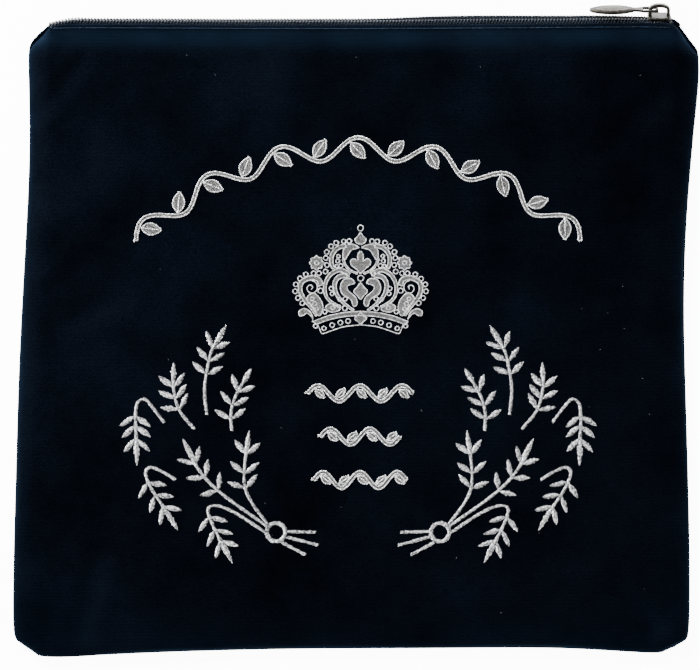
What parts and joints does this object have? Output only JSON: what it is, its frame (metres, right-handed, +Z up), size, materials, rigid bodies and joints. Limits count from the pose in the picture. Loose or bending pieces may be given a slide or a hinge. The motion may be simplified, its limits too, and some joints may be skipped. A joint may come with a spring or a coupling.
{
  "type": "tallit bag",
  "caption": "Flat zipped velvet bag for a prayer shawl, with an embroidered crown, wheat sprays and leafy borders in silver thread.",
  "frame": {"origin": "middle of the flat underside of the back panel, on the surface that the bag lies on", "axes": "+Z up out of the embroidered face, +Y towards the zip, +X to the right of the design"},
  "size_m": [0.321, 0.3058, 0.0219],
  "materials": {
    "velvet": "navy velvet pile",
    "zip_tape": "woven tape",
    "zip_coil": "dark nylon",
    "nickel": "worn nickel",
    "silver_thread": "satin stitched silver thread"
  },
  "bodies": {
    "bag": {"front_panel": "velvet", "back_panel": "velvet", "zip_tape_front": "zip_tape", "zip_tape_back": "zip_tape", "zip_coil_front": "zip_coil", "zip_coil_back": "zip_coil", "zip_slider": "nickel", "crown": "silver_thread", "wheat_ear_left_1": "silver_thread", "wheat_ear_left_2": "silver_thread", "wheat_ear_left_3": "silver_thread", "wheat_ear_left_4": "silver_thread", "wheat_ear_left_5": "silver_thread", "wheat_ear_right_1": "silver_thread", "wheat_ear_right_2": "silver_thread", "wheat_ear_right_3": "silver_thread", "wheat_ear_right_4": "silver_thread", "wheat_ear_right_5": "silver_thread", "wheat_bunch_left": "silver_thread", "wheat_bunch_right": "silver_thread", "vine_arch": "silver_thread", "vine_row_1": "silver_thread", "vine_row_2": "silver_thread", "vine_row_3": "silver_thread"},
    "zip_pull": {"zip_pull": "nickel"}
  },
  "joints": [
    {"name": "pull_swing", "type": "hinge", "parent": "bag", "child": "zip_pull", "pos_m": [0.14058, 0.15221, 0.00848], "axis": [-0.0033, 0.4384, -0.8988], "range_deg": [-4, 170]}
  ]
}
